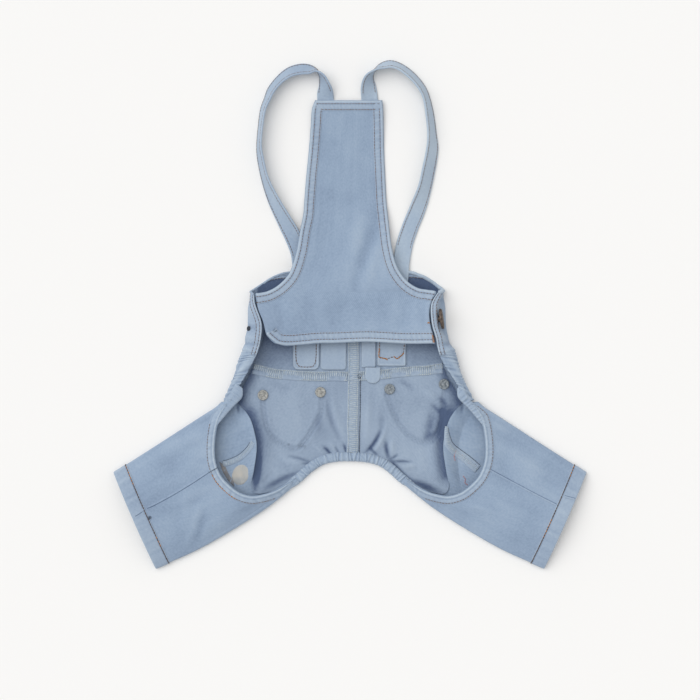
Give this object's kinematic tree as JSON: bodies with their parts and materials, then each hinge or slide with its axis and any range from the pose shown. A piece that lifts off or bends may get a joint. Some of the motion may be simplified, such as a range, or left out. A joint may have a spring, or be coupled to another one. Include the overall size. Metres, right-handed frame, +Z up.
{
  "type": "dog's denim overalls",
  "caption": "Small dog's denim overalls laid flat belly side up, with a long bib, looped shoulder straps, open belly and splayed leg tubes.",
  "frame": {"origin": "middle of the garment's outline, on the surface that it lies on", "axes": "+X across the garment to the side with the tack button, +Y towards the shoulder straps, +Z up out of the surface"},
  "size_m": [0.4012, 0.4319, 0.0227],
  "materials": {
    "denim": "washed light blue denim, matte",
    "denim_pale": "washed paler at turned edges and gathers, matte",
    "overlock_thread": "overlocked seam allowance, matte",
    "rivet_metal": "worn satin metal",
    "button_bronze": "antique bronze, satin"
  },
  "bodies": {
    "root": {"bib": "denim", "bib_binding_left": "denim_pale", "bib_binding_right": "denim_pale", "bib_hem": "denim_pale", "centre_strip": "overlock_thread", "crotch_casing": "denim_pale", "hem_left": "denim_pale", "hem_right": "denim_pale", "leg_left": "denim", "leg_right": "denim", "opening_binding_left": "denim_pale", "opening_binding_right": "denim_pale", "rivet_1": "rivet_metal", "rivet_2": "rivet_metal", "rivet_3": "rivet_metal", "rivet_4": "rivet_metal", "seat_left": "denim", "seat_right": "denim", "side_casing_left": "denim_pale", "side_casing_right": "denim_pale", "side_left": "denim", "side_right": "denim", "strap_left": "denim", "strap_right": "denim", "tab_inner_left": "denim_pale", "tab_inner_right": "denim_pale", "tab_left": "denim_pale", "tab_right": "denim_pale", "tack_button": "button_bronze", "upper_back_left": "denim", "upper_back_right": "denim", "waist_loop": "denim_pale", "waist_strip_left": "overlock_thread", "waist_strip_right": "overlock_thread"}
  },
  "joints": []
}
